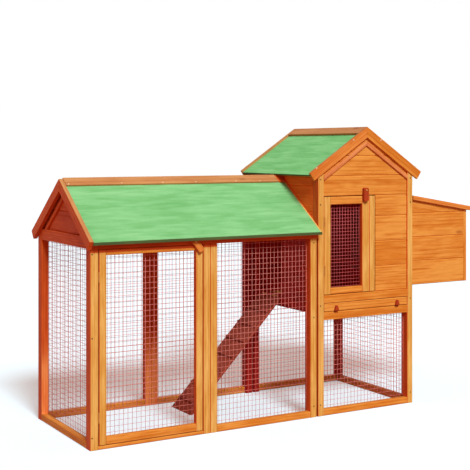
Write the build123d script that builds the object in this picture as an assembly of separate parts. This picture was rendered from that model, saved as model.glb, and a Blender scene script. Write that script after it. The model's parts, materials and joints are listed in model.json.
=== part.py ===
from build123d import *
import os
from math import cos, radians, sin, tan

# A timber chicken cage: a gabled wire run on the left and a raised hen house with a nest box on the right.
# Lengths are millimetres. X runs along the front from the run to the nest box, Y from front to back.
# Places are laid out from the foot of the run's front left post, and the finished part is moved at the
# end so that the ground under the middle of its box is the origin.

# Plan
DEPTH = 600.0  # outer face of the front posts to outer face of the back posts
RUN_LENGTH = 1084.0  # outer faces of the run's end posts
JOIN_GAP = 7.0  # between the run's right posts and the house posts, bridged by the run's top rails
HOUSE_LENGTH = 540.0  # outer faces of the house posts
NEST_LENGTH = 350.0  # how far the nest box stands out from the house
RUN_DOOR_BAY = 474.0  # clear width between the left post and the centre posts

# Timber
POST_DEPTH = 44.0  # front to back
RUN_POST_WIDTH = 35.0
CENTRE_POST_WIDTH = 33.5  # one of the two that stand side by side
HOUSE_POST_WIDTH = 32.0
RAIL_DEPTH = 30.0
BOARD = 10.0  # thickness of wall boards
BOARD_WIDTH = 116.0  # height of one wall course
GABLE_BOARD_WIDTH = 91.0
LEAST_COURSE = 0.3  # a top course under this share of a board is one with the course below it
EASE = 2.0  # chamfer along sawn members
GROOVE = 3.0  # chamfer that makes the V between boards
DOOR_GAP = 3.0  # clearance round a door, which also takes the two hinge leaves
DOOR_HEAD_GAP = 1.5  # over the run door, so that no daylight shows under the rail
SLIDE_GAP = 2.0  # clearance round the tray front
REST_GAP = 0.3  # clearance under a part that lies on another and moves

# Run heights and roof
SILL_HEIGHT = 14.0
GROUND_RAIL_HEIGHT = 28.0
TOP_RAIL_HEIGHT = 44.0  # the run's top rails at their outer face, under the roof
GABLE_RAIL_HEIGHT = 48.0
EAVE_GAP = 6.6  # the run's ridge lies this far under the edge of the house roof
RUN_PITCH = 35.5
RUN_EAVE = 34.0
RUN_BARGE = 18.0  # thickness of the barge boards at the left end
RUN_BARGE_PROUD = 4.0
RUN_CAP = 8.0  # thickness of the ridge boards
GABLE_SET = 8.0  # the left gable's boards lie this far behind the posts
ROOF_SHEET = 9.0
CAP_WIDTH = 46.0
BARGE_WIDTH = 42.0
RAKE_TRIM_WIDTH = 16.0
RAKE_TRIM = 8.0
RAKE_SHADOW = 14.0  # bare board between a barge board and the trim under it

# Run door
RUN_DOOR_STILE = 32.0
RUN_DOOR_TOP_RAIL = 24.0
RUN_DOOR_BOTTOM_RAIL = 31.0
RUN_DOOR_THICKNESS = 24.0

# House heights and roof
FLOOR_RAIL_Z = 427.0
FLOOR_RAIL_HEIGHT = 36.0
TRAY_FRONT_HEIGHT = 36.0
PANEL_RAIL_HEIGHT = 35.0
HOUSE_RISE = 823.0  # top of the floor rails to the house ridge
HOUSE_PITCH = 33.5
HOUSE_EAVE = 41.0
HOUSE_BARGE = 12.0
HOUSE_CAP = 10.0  # thickness of the ridge boards, and how proud the barge boards stand
WALL_SET = 6.0  # the gable walls' boards lie this far behind the posts

# House door
HOUSE_DOOR_WIDTH = 287.0
HOUSE_DOOR_HEIGHT = 439.0
HOUSE_DOOR_THICKNESS = 20.0
HOUSE_DOOR_STILE = 38.0
HOUSE_DOOR_LATCH_STILE = 41.0
HOUSE_DOOR_BATTEN = 32.0
HOUSE_DOOR_RAIL = 27.5
HOUSE_DOOR_TOP_RAIL = 35.0
JAMB_WIDTH = 26.0
JAMB_DEPTH = 28.0

# Doorway, ramp and perch
DOORWAY_BACK_GAP = 46.0  # between the doorway and the back posts
DOORWAY_RISE = 34.0  # bottom of the doorway above the floor rails
DOORWAY_WIDTH = 210.0
DOORWAY_HEIGHT = 300.0
SILL_BOARD = 10.0
SILL_SET = 3.0  # threshold board behind the wall's outer face, clear of the ramp hinges
RAMP_WIDTH = 182.0
RAMP_THICKNESS = 12.0
RAMP_PITCH = 46.0
RAMP_FOOT_GAP = 0.5  # the ramp's foot above the ground
CLEAT_WIDTH = 12.0
CLEAT_HEIGHT = 8.0
CLEAT_PITCH = 90.0
CLEAT_INSET = 8.0  # cleats stop short of the ramp's edges
PERCH_RADIUS = 14.0
PERCH_RISE = 177.0  # middle of the perch above the floor rails

# Tray
TRAY_FRONT = 14.0
TRAY_BASE = 6.0
TRAY_SIDE = 10.0
TRAY_SIDE_HEIGHT = 24.0
TRAY_BACK_GAP = 26.0
RUNNER_WIDTH = 22.0
RUNNER_HEIGHT = 12.0
PULL_BASE = 22.0
PULL_TIP = 8.0
PULL_HEIGHT = 24.0
PULL_DEPTH = 14.0
PULL_INSET = 63.0  # from the end of the tray front to the middle of a pull

# Nest box
NEST_SET = 15.0  # the nest box stands this far inside the faces of the house
NEST_RISE = 89.0  # underside of the nest box above the floor rails
NEST_HEIGHT = 413.0  # the nest box's sides where they meet the house
NEST_PITCH = 9.46
NEST_FLOOR = 12.0
NEST_CORNER = 20.0
NEST_BOARD_WIDTH = 113.0
NEST_HOLE_RISE = 38.0  # bottom of the way into the nest box above its underside
NEST_HOLE_WIDTH = 360.0
NEST_HOLE_HEIGHT = 300.0
LID = 12.0
LID_END_OVERHANG = 20.0
LID_SIDE_GAP = 3.0  # between the lid's side trim and the nest box
LID_TRIM = 10.0
LID_TRIM_DROP = 8.0  # how far the trim hangs below the lid's underside

# Wire panels, drawn with one strand for each four wires
WIRE_PITCH_ALONG = 76.8
WIRE_PITCH_UP = 90.4
WINDOW_PITCH_ALONG = 64.0
WINDOW_PITCH_UP = 62.0
WIRE = 2.0
WIRE_EDGE = 8.0
WIRE_LAP = 14.0  # how far a panel lies over the rails that hold it

# Hinges and turn buttons
HINGE_LENGTH = 40.0
HINGE_RADIUS = 3.0
HINGE_PIN_RADIUS = 1.55
PIN_CLEARANCE = 0.05
KNUCKLE_PLAY = 0.3
MIDDLE_KNUCKLE = 13.0
LEAF = 1.1
DOOR_LEAF_WIDTH = 24.0
SHORT_LEAF_WIDTH = 14.0  # where a leaf lies on a thin edge
DOOR_HINGE_INSET = 110.0  # from a door's ends to the middle of a hinge
LID_HINGE_INSET = 130.0
RAMP_HINGE_INSET = 45.0
BUTTON_LENGTH = 62.0
BUTTON_WIDTH = 27.0
BUTTON_THICKNESS = 15.0
BUTTON_PIVOT = 11.0  # from a button's upper end to its screw
BUTTON_CORNER = 5.0
BUTTON_GAP = 0.5
HOUSE_BUTTON_LAP = 24.0  # how far the house button hangs over its door
HOUSE_BUTTON_FROM_EDGE = 59.0
RUN_BUTTON_TILT = 36.0
RUN_BUTTON_FROM_POST = 43.0
RUN_BUTTON_RISE = 13.0  # screw above the underside of the top rail
SCREW_RADIUS = 2.2
SCREW_HEAD_RADIUS = 4.5
SCREW_HEAD = 3.0
SCREW_BITE = 24.0

# Places that follow from the sizes above
HOUSE_X = RUN_LENGTH + JOIN_GAP
HOUSE_END = HOUSE_X + HOUSE_LENGTH
NEST_END = HOUSE_END + NEST_LENGTH
LID_END = NEST_END + LID_END_OVERHANG
MIDDLE_Y = DEPTH / 2
HOUSE_MIDDLE = (HOUSE_X + HOUSE_END) / 2
HOUSE_INNER = (HOUSE_X + HOUSE_POST_WIDTH, HOUSE_END - HOUSE_POST_WIDTH)
BETWEEN_POSTS = (POST_DEPTH, DEPTH - POST_DEPTH)
RUN_BAYS_X = (RUN_POST_WIDTH, RUN_LENGTH - RUN_POST_WIDTH)
CENTRE_POSTS = (RUN_POST_WIDTH + RUN_DOOR_BAY, RUN_POST_WIDTH + RUN_DOOR_BAY + 2 * CENTRE_POST_WIDTH)
FLOOR_RAIL_TOP = FLOOR_RAIL_Z + FLOOR_RAIL_HEIGHT
DOORWAY_Y = DEPTH - POST_DEPTH - DOORWAY_BACK_GAP - DOORWAY_WIDTH / 2  # middle of the doorway
DOORWAY_Z = FLOOR_RAIL_TOP + DOORWAY_RISE
PERCH_Z = FLOOR_RAIL_TOP + PERCH_RISE
NEST_Z = FLOOR_RAIL_TOP + NEST_RISE
NEST_WALL_Z = NEST_Z + NEST_HEIGHT
NEST_HOLE_Z = NEST_Z + NEST_HOLE_RISE
TRAY_FRONT_Z = FLOOR_RAIL_TOP + SLIDE_GAP
PANEL_RAIL_Z = TRAY_FRONT_Z + TRAY_FRONT_HEIGHT + SLIDE_GAP
PANEL_RAIL_TOP = PANEL_RAIL_Z + PANEL_RAIL_HEIGHT
HOUSE_DOOR_Z = PANEL_RAIL_TOP + DOOR_GAP
DOOR_HEAD_Z = HOUSE_DOOR_Z + HOUSE_DOOR_HEIGHT + DOOR_GAP
HOUSE_DOOR_X = HOUSE_INNER[0] + DOOR_GAP
JAMB_X = HOUSE_DOOR_X + HOUSE_DOOR_WIDTH + DOOR_GAP
HINGE_STAND = HINGE_RADIUS + KNUCKLE_PLAY  # hinge axis in front of the face that it serves
LID_GAP = 2 * HINGE_STAND  # the lid's hinges lie against a wall that goes on above them
TOUCH = 0.01
TALL = 2000.0

FRONT_TO_BACK = Axis.Y
ALONG = Axis.X


class Gable:
    """A pair of slopes that fall from a ridge, drawn in a section of (across, height) points."""

    def __init__(self, middle, ridge, pitch, half_span):
        self.middle = middle
        self.ridge = ridge
        self.angle = radians(pitch)
        self.length = half_span / cos(self.angle)

    def height(self, across, offset=0.0):
        """Height of the plane that lies an offset above the covering."""
        return self.ridge - abs(across - self.middle) * tan(self.angle) + offset / cos(self.angle)

    def band(self, side, top, bottom, length=None):
        """A strip down one slope between two offsets, mitred at the ridge and cut square at its foot."""
        run = self.length if length is None else length
        foot = Vector(run * cos(self.angle), self.ridge - run * sin(self.angle))
        rise = Vector(sin(self.angle), cos(self.angle))
        corners = [Vector(0, self.height(self.middle, top)), foot + rise * top,
                   foot + rise * bottom, Vector(0, self.height(self.middle, bottom))]
        return [(self.middle + side * corner.X, corner.Y) for corner in corners]

    def wall(self, low, high, floor, offset):
        """The outline of a wall under both slopes."""
        tops = [(across, self.height(across, offset)) for across in (low, self.middle, high)]
        return [(low, floor), *tops, (high, floor)]


HOUSE_ROOF = Gable(HOUSE_MIDDLE, FLOOR_RAIL_TOP + HOUSE_RISE, HOUSE_PITCH, HOUSE_LENGTH / 2 + HOUSE_EAVE)
HOUSE_EAVE_Z = min(height for across, height in HOUSE_ROOF.band(-1, 0, -ROOF_SHEET))
RUN_ROOF = Gable(MIDDLE_Y, HOUSE_EAVE_Z - EAVE_GAP, RUN_PITCH, MIDDLE_Y + RUN_EAVE)
TOP_RAIL_Z = RUN_ROOF.height(0, -ROOF_SHEET) - TOP_RAIL_HEIGHT
BARGE_FOOT = HOUSE_CAP - BARGE_WIDTH  # offset of a house barge board's lower edge from the covering


def block(x, y, z):
    """A plain box between pairs of low and high places."""
    sizes = [high - low for low, high in (x, y, z)]
    middles = [(low + high) / 2 for low, high in (x, y, z)]
    return Pos(*middles) * Box(*sizes)


def timber(x, y, z, ease=EASE):
    """A sawn member with its long edges eased."""
    sizes = [high - low for low, high in (x, y, z)]
    grain = (Axis.X, Axis.Y, Axis.Z)[sizes.index(max(sizes))]
    return chamfer(block(x, y, z).edges().filter_by(grain), ease)


def prism(points, along, span):
    """An outline of (across, height) points carried between two places along X or Y."""
    low, high = span
    plane = Plane.YZ.offset(low) if along is ALONG else Plane.XZ.offset(-low)
    return extrude(plane * Polygon(*points, align=None), high - low, dir=along.direction)


def opposite(span):
    """The same places seen from the back of the cage."""
    return (DEPTH - span[1], DEPTH - span[0])


def both_sides(span):
    return (span, opposite(span))


def centred(middle, width):
    return (middle - width / 2, middle + width / 2)


def courses(low, high, width):
    """Board heights from the bottom up, with what is left over as the top course."""
    count = max(1, int((high - low) / width + 1 - LEAST_COURSE))
    edges = [low + i * width for i in range(count)] + [high]
    return list(zip(edges, edges[1:]))


def vee(board, grain, face):
    """Ease the long edges of a board's outer face, so that courses meet in a V."""
    edges = [edge for edge in board.edges().filter_by(grain)
             if abs(face.to_local_coords(edge.center()).Z) < TOUCH]
    return board.chamfer(GROOVE, None, edges)


def board_wall(outline, grain, face, levels):
    """Boards cut from the solid outline of a wall, one for each pair of heights."""
    far = (-TALL, 2 * TALL)
    pieces = [solid for level in levels for solid in (outline & block(far, far, level)).solids()]
    return [vee(piece, grain, face) for piece in pieces]


def wire_panel(middle, right, outward, width, height, pitch_along, pitch_up):
    """A welded panel, drawn as one flat sheet with a grid of gaps."""
    columns = max(1, round((width - 2 * WIRE_EDGE) / pitch_along))
    rows = max(1, round((height - 2 * WIRE_EDGE) / pitch_up))
    step = ((width - 2 * WIRE_EDGE + WIRE) / columns, (height - 2 * WIRE_EDGE + WIRE) / rows)
    gap = Rectangle(step[0] - WIRE, step[1] - WIRE).wire()
    gaps = [place * gap for place in GridLocations(*step, columns, rows)]
    sheet = Face(Rectangle(width, height).wire(), gaps)
    plane = Plane(origin=middle, x_dir=right, z_dir=outward).offset(-WIRE / 2)
    return extrude(plane * sheet, WIRE, dir=outward)


def wire_facing_y(x, y, z, pitch_along=WIRE_PITCH_ALONG, pitch_up=WIRE_PITCH_UP):
    """A wire panel in the plane of the front, centred on its thickness at y."""
    middle = ((x[0] + x[1]) / 2, y, (z[0] + z[1]) / 2)
    size = (x[1] - x[0], z[1] - z[0])
    return wire_panel(middle, (1, 0, 0), (0, 1, 0), *size, pitch_along, pitch_up)


def wire_facing_x(x, y, z):
    """A wire panel in the plane of an end, centred on its thickness at x."""
    middle = (x, (y[0] + y[1]) / 2, (z[0] + z[1]) / 2)
    size = (y[1] - y[0], z[1] - z[0])
    return wire_panel(middle, (0, 1, 0), (1, 0, 0), *size, WIRE_PITCH_ALONG, WIRE_PITCH_UP)


def hinge_leaf(side, gap, leaf_width, own, others):
    """One leaf with its knuckles, lying on one side of a gap and cleared round the other's knuckles."""
    outer = side * gap / 2
    inner = side * (gap / 2 - LEAF)
    root = (HINGE_RADIUS + HINGE_PIN_RADIUS + PIN_CLEARANCE) / 2 if gap < 2 * HINGE_RADIUS else 0
    leaf = block(sorted((outer, inner)), (root, leaf_width), (-HINGE_LENGTH / 2, HINGE_LENGTH / 2))
    for low, high in others:
        relief = Cylinder(HINGE_STAND, high - low + 2 * KNUCKLE_PLAY)
        leaf -= Pos(0, 0, (low + high) / 2) * relief
    for low, high in own:
        leaf += Pos(0, 0, (low + high) / 2) * Cylinder(HINGE_RADIUS, high - low)
    return leaf


def hinge(place, leaf_width, gap=DOOR_GAP):
    """A butt hinge: the leaf that stays, with the pin set in its end knuckles, and the leaf that swings on
    the pin. Its axis is local Z, and the leaves lie in the gap behind it, the fixed one at minus X."""
    half = HINGE_LENGTH / 2
    middle = [(-MIDDLE_KNUCKLE / 2, MIDDLE_KNUCKLE / 2)]
    ends = [(-half, -MIDDLE_KNUCKLE / 2 - KNUCKLE_PLAY), (MIDDLE_KNUCKLE / 2 + KNUCKLE_PLAY, half)]
    fixed = hinge_leaf(-1, gap, leaf_width, ends, middle) + Cylinder(HINGE_PIN_RADIUS, HINGE_LENGTH)
    bore = Cylinder(HINGE_PIN_RADIUS + PIN_CLEARANCE, HINGE_LENGTH)
    moving = hinge_leaf(1, gap, leaf_width, middle, ends) - bore
    return [place * piece for piece in (fixed, moving)]


def turn_button():
    """A wooden turn button in the plane of the front, hung from the origin, with its back face at y = 0."""
    top = BUTTON_PIVOT
    foot = BUTTON_PIVOT - BUTTON_LENGTH
    bar = block((-BUTTON_WIDTH / 2, BUTTON_WIDTH / 2), (-BUTTON_THICKNESS, 0), (foot, top))
    bar = chamfer(bar.edges().filter_by(Axis.Y), BUTTON_CORNER)
    bar = chamfer(bar.faces().sort_by(Axis.Y)[0].edges(), EASE / 2)
    return bar - Pos(0, -BUTTON_THICKNESS / 2, 0) * Rot(90, 0, 0) * Cylinder(
        SCREW_RADIUS + PIN_CLEARANCE, 2 * BUTTON_THICKNESS)


def button_screw(button_back):
    """The screw that a button turns on: a domed head in front and a shank that bites into the frame."""
    head_y = button_back - BUTTON_THICKNESS - REST_GAP
    head = Pos(0, head_y - SCREW_HEAD / 2, 0) * Rot(90, 0, 0) * Cylinder(SCREW_HEAD_RADIUS, SCREW_HEAD)
    head = chamfer(head.faces().sort_by(Axis.Y)[0].edges(), SCREW_HEAD / 2)
    length = BUTTON_THICKNESS + REST_GAP + SCREW_BITE
    shank = Pos(0, head_y + length / 2, 0) * Rot(90, 0, 0) * Cylinder(SCREW_RADIUS, length)
    return head + shank


def pilot_hole(x, z):
    """A hole for a button's screw, drilled back from in front of the frame."""
    return Pos(x, 0, z) * Rot(90, 0, 0) * Cylinder(SCREW_RADIUS, 2 * POST_DEPTH)


RUN_BUTTON = Pos(CENTRE_POSTS[0] - RUN_BUTTON_FROM_POST, -BUTTON_GAP, TOP_RAIL_Z + RUN_BUTTON_RISE)
HOUSE_BUTTON = Pos(HOUSE_DOOR_X + HOUSE_DOOR_WIDTH - HOUSE_BUTTON_FROM_EDGE, WALL_SET - BUTTON_GAP,
                   HOUSE_DOOR_Z + HOUSE_DOOR_HEIGHT - HOUSE_BUTTON_LAP + BUTTON_LENGTH - BUTTON_PIVOT)
RUN_PILOT = pilot_hole(RUN_BUTTON.position.X, RUN_BUTTON.position.Z)
HOUSE_PILOT = pilot_hole(HOUSE_BUTTON.position.X, HOUSE_BUTTON.position.Z)


def run_frame():
    """Posts, rails and sill of the run."""
    under_roof = prism(RUN_ROOF.wall(0, DEPTH, 0, -ROOF_SHEET), ALONG, (0, HOUSE_X))
    left = (0, RUN_POST_WIDTH)
    right = (RUN_LENGTH - RUN_POST_WIDTH, RUN_LENGTH)
    first_centre = (CENTRE_POSTS[0], CENTRE_POSTS[0] + CENTRE_POST_WIDTH)
    second_centre = (CENTRE_POSTS[1] - CENTRE_POST_WIDTH, CENTRE_POSTS[1])
    fixed_bay = (CENTRE_POSTS[1], RUN_BAYS_X[1])
    door_bay = (RUN_BAYS_X[0], CENTRE_POSTS[0])
    corners, centres, top_rails = [], [], []
    for post_y in both_sides((0, POST_DEPTH)):
        corners += [timber(left, post_y, (0, TALL)) & under_roof, timber(right, post_y, (0, TOP_RAIL_Z))]
    for rail_y in both_sides((0, RAIL_DEPTH)):
        centres += [timber(x, rail_y, (0, TOP_RAIL_Z)) for x in (first_centre, second_centre)]
        rail = block((RUN_POST_WIDTH, HOUSE_X), rail_y, (TOP_RAIL_Z, TALL)) & under_roof
        top_rails.append(rail - RUN_PILOT)
    front, back = both_sides((0, RAIL_DEPTH))
    low = (0, GROUND_RAIL_HEIGHT)
    ground_rails = [timber(fixed_bay, front, low), timber((0, RAIL_DEPTH), BETWEEN_POSTS, low)]
    ground_rails += [timber(bay, back, low) for bay in (door_bay, fixed_bay)]
    return {
        "run_corner_posts": corners,
        "run_centre_posts": centres,
        "run_top_rails": top_rails,
        "run_ground_rails": ground_rails,
        "run_door_sill": [timber(door_bay, front, (0, SILL_HEIGHT))],
    }


def run_gable():
    """The boarded gable at the run's left end, with its rail and trim."""
    rail_top = TOP_RAIL_Z + GABLE_RAIL_HEIGHT
    depth = (GABLE_SET, GABLE_SET + BOARD)
    outline = RUN_ROOF.wall(*BETWEEN_POSTS, rail_top, -ROOF_SHEET)
    wall = prism(outline, ALONG, depth)
    levels = courses(rail_top, RUN_ROOF.height(MIDDLE_Y, -ROOF_SHEET), GABLE_BOARD_WIDTH)
    trim_top = RUN_BARGE_PROUD - BARGE_WIDTH - RAKE_SHADOW
    trim_depth = (GABLE_SET - RAKE_TRIM, GABLE_SET)
    trim_room = prism(outline, ALONG, trim_depth)
    strips = [RUN_ROOF.band(side, trim_top, trim_top - RAKE_TRIM_WIDTH) for side in (-1, 1)]
    trims = [prism(strip, ALONG, trim_depth) & trim_room for strip in strips]
    return {
        "run_gable_rail": [timber((0, RAIL_DEPTH), BETWEEN_POSTS, (TOP_RAIL_Z, rail_top))],
        "run_gable_boards": board_wall(wall, FRONT_TO_BACK, Plane.YZ.offset(GABLE_SET), levels),
        "run_gable_trims": trims,
    }


def run_roof():
    """Two covered slopes, ridge boards and the barge boards at the left end."""
    cover = (0, HOUSE_X)
    sheets = [prism(RUN_ROOF.band(side, 0, -ROOF_SHEET), ALONG, cover) for side in (-1, 1)]
    under_eave = (0, HOUSE_X - HOUSE_EAVE - DOOR_GAP)
    caps = [prism(RUN_ROOF.band(side, RUN_CAP, 0, CAP_WIDTH), ALONG, under_eave) for side in (-1, 1)]
    barge_foot = RUN_BARGE_PROUD - BARGE_WIDTH
    barges = [prism(RUN_ROOF.band(side, RUN_BARGE_PROUD, barge_foot), ALONG, (-RUN_BARGE, 0))
              for side in (-1, 1)]
    return {
        "run_roof_front": [sheets[0]],
        "run_roof_back": [sheets[1]],
        "run_ridge_boards": caps,
        "run_barge_boards": barges,
    }


def run_wire():
    """The fixed wire panels of the run, each on the inner side of its rails."""
    door_bay = (RUN_BAYS_X[0], CENTRE_POSTS[0])
    fixed_bay = (CENTRE_POSTS[1], RUN_BAYS_X[1])
    height = (GROUND_RAIL_HEIGHT - WIRE_LAP, TOP_RAIL_Z + WIRE_LAP)
    plane = RAIL_DEPTH + WIRE / 2
    return {
        "run_wire_end": [wire_facing_x(plane, BETWEEN_POSTS, height)],
        "run_wire_front": [wire_facing_y(fixed_bay, plane, height)],
        "run_wire_back": [wire_facing_y(bay, DEPTH - plane, height) for bay in (door_bay, fixed_bay)],
    }


def run_door():
    """The wire door in the run's left bay, hung on the left post."""
    x = (RUN_BAYS_X[0] + DOOR_GAP, CENTRE_POSTS[0] - DOOR_GAP)
    y = (0, RUN_DOOR_THICKNESS)
    z = (SILL_HEIGHT + DOOR_GAP, TOP_RAIL_Z - DOOR_HEAD_GAP)
    inner = (x[0] + RUN_DOOR_STILE, x[1] - RUN_DOOR_STILE)
    opening = (z[0] + RUN_DOOR_BOTTOM_RAIL, z[1] - RUN_DOOR_TOP_RAIL)
    stiles = [timber((x[0], inner[0]), y, z), timber((inner[1], x[1]), y, z)]
    rails = [timber(inner, y, (z[0], opening[0])), timber(inner, y, (opening[1], z[1]))]
    wire = wire_facing_y((inner[0] - WIRE_LAP, inner[1] + WIRE_LAP), RUN_DOOR_THICKNESS + WIRE / 2,
                         (opening[0] - WIRE_LAP, opening[1] + WIRE_LAP))
    axis_x = RUN_BAYS_X[0] + DOOR_GAP / 2
    places = [Pos(axis_x, -HINGE_STAND, at) for at in (z[0] + DOOR_HINGE_INSET, z[1] - DOOR_HINGE_INSET)]
    hinges = [hinge(place, DOOR_LEAF_WIDTH) for place in places]
    nodes = {"run_door_frame": stiles + rails, "run_door_wire": [wire]}
    return nodes, "run_door_hinge_leaves", hinges


def house_frame():
    """Posts, floor rails, wall plates and the framing round the house door."""
    under_barge = prism(HOUSE_ROOF.wall(HOUSE_X, HOUSE_END, 0, BARGE_FOOT), FRONT_TO_BACK, (0, DEPTH))
    under_roof = prism(HOUSE_ROOF.wall(HOUSE_X, HOUSE_END, 0, -ROOF_SHEET), FRONT_TO_BACK, (0, DEPTH))
    sides = ((HOUSE_X, HOUSE_INNER[0]), (HOUSE_INNER[1], HOUSE_END))
    posts, plates = [], []
    for side in sides:
        posts += [timber(side, y, (0, TALL)) & under_barge for y in both_sides((0, POST_DEPTH))]
        full = block(side, (WALL_SET, DEPTH - WALL_SET), (0, TALL))
        plates.append((full & under_roof) - under_barge)
    level = (FLOOR_RAIL_Z, FLOOR_RAIL_TOP)
    rails = [timber(HOUSE_INNER, y, level) for y in both_sides((0, RAIL_DEPTH))]
    rails.append(timber((HOUSE_END - RAIL_DEPTH, HOUSE_END), BETWEEN_POSTS, level))
    behind_boards = (HOUSE_X + BOARD, HOUSE_INNER[0])
    rails.append(timber(behind_boards, BETWEEN_POSTS, (FLOOR_RAIL_TOP, DOORWAY_Z)))
    low = (0, GROUND_RAIL_HEIGHT)
    ground = [timber(HOUSE_INNER, y, low) for y in both_sides((0, RAIL_DEPTH))]
    ground.append(timber((HOUSE_END - RAIL_DEPTH, HOUSE_END), BETWEEN_POSTS, low))
    framing_y = (WALL_SET + BOARD, WALL_SET + BOARD + JAMB_DEPTH)
    jamb = timber((JAMB_X, JAMB_X + JAMB_WIDTH), framing_y, (PANEL_RAIL_TOP, DOOR_HEAD_Z))
    head_top = HOUSE_BUTTON.position.Z + SCREW_HEAD_RADIUS
    head = timber(HOUSE_INNER, framing_y, (DOOR_HEAD_Z, head_top)) - HOUSE_PILOT
    return {
        "house_posts": posts,
        "house_wall_plates": plates,
        "house_floor_rails": rails,
        "house_ground_rails": ground,
        "house_panel_rail": [timber(HOUSE_INNER, (0, RAIL_DEPTH), (PANEL_RAIL_Z, PANEL_RAIL_TOP))],
        "house_door_framing": [jamb, head],
    }


def house_walls():
    """Boarded walls, with the doorway to the run on the left and the way into the nest box on the right."""
    apex = HOUSE_ROOF.height(HOUSE_MIDDLE, -ROOF_SHEET)
    front_y = (WALL_SET, WALL_SET + BOARD)
    front_face = Plane.XZ.offset(-front_y[0])
    gable = prism(HOUSE_ROOF.wall(*HOUSE_INNER, DOOR_HEAD_Z, -ROOF_SHEET), FRONT_TO_BACK, front_y)
    beside_door = block((JAMB_X, HOUSE_INNER[1]), front_y, (PANEL_RAIL_TOP, DOOR_HEAD_Z))
    gable_levels = courses(DOOR_HEAD_Z, apex, GABLE_BOARD_WIDTH)
    front = board_wall(beside_door, ALONG, front_face, courses(PANEL_RAIL_TOP, DOOR_HEAD_Z, BOARD_WIDTH))
    front += board_wall(gable - HOUSE_PILOT, ALONG, front_face, gable_levels)

    back_y = opposite(front_y)
    back_wall = prism(HOUSE_ROOF.wall(*HOUSE_INNER, FLOOR_RAIL_TOP, -ROOF_SHEET), FRONT_TO_BACK, back_y)
    back_levels = courses(FLOOR_RAIL_TOP, DOOR_HEAD_Z, BOARD_WIDTH) + gable_levels
    back = board_wall(back_wall, ALONG, Plane.XZ.offset(-back_y[1]), back_levels)

    sides_outline = HOUSE_ROOF.wall(HOUSE_X, HOUSE_END, FLOOR_RAIL_TOP, BARGE_FOOT)
    under_plates = prism(sides_outline, FRONT_TO_BACK, BETWEEN_POSTS)
    eave = HOUSE_ROOF.height(HOUSE_X + BOARD, BARGE_FOOT)
    doorway = centred(DOORWAY_Y, DOORWAY_WIDTH)
    left = side_wall(under_plates, (HOUSE_X, HOUSE_X + BOARD), HOUSE_X, eave,
                     doorway, (DOORWAY_Z, DOORWAY_Z + DOORWAY_HEIGHT))
    right = side_wall(under_plates, (HOUSE_END - BOARD, HOUSE_END), HOUSE_END, eave,
                      centred(MIDDLE_Y, NEST_HOLE_WIDTH), (NEST_HOLE_Z, NEST_HOLE_Z + NEST_HOLE_HEIGHT))
    sill = timber((HOUSE_X + SILL_SET, HOUSE_INNER[0]), doorway, (DOORWAY_Z, DOORWAY_Z + SILL_BOARD))
    return {
        "house_front_boards": front,
        "house_back_boards": back,
        "house_left_boards": left,
        "house_right_boards": right,
        "doorway_sill": [sill],
    }


def side_wall(room, x, face_x, eave, hole_y, hole_z):
    """A side wall of boards, whose courses stop at the edges of its hole."""
    wall = (room & block(x, BETWEEN_POSTS, (FLOOR_RAIL_TOP, TALL))) - block(x, hole_y, hole_z)
    levels = courses(FLOOR_RAIL_TOP, hole_z[0], BOARD_WIDTH) + courses(*hole_z, BOARD_WIDTH)
    levels += courses(hole_z[1], eave, BOARD_WIDTH)
    return board_wall(wall, FRONT_TO_BACK, Plane.YZ.offset(face_x), levels)


def house_roof():
    """Two covered slopes, ridge boards, barge boards at both ends and the trim on the front gable."""
    cover = (WALL_SET, DEPTH - WALL_SET)
    sheets = [prism(HOUSE_ROOF.band(side, 0, -ROOF_SHEET), FRONT_TO_BACK, cover) for side in (-1, 1)]
    caps = [prism(HOUSE_ROOF.band(side, HOUSE_CAP, 0, CAP_WIDTH), FRONT_TO_BACK, cover) for side in (-1, 1)]
    barge_y = (WALL_SET - HOUSE_BARGE, WALL_SET)
    barges = [prism(HOUSE_ROOF.band(side, HOUSE_CAP, BARGE_FOOT), FRONT_TO_BACK, y)
              for y in both_sides(barge_y) for side in (-1, 1)]
    trim_top = BARGE_FOOT - RAKE_SHADOW
    trim_y = (WALL_SET - RAKE_TRIM, WALL_SET)
    trim_room = block(HOUSE_INNER, trim_y, (0, TALL))
    strips = [HOUSE_ROOF.band(side, trim_top, trim_top - RAKE_TRIM_WIDTH) for side in (-1, 1)]
    trims = [prism(strip, FRONT_TO_BACK, trim_y) & trim_room for strip in strips]
    return {
        "house_roof_left": [sheets[0]],
        "house_roof_right": [sheets[1]],
        "house_ridge_boards": caps,
        "house_barge_boards": barges,
        "house_gable_trims": trims,
    }


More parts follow.
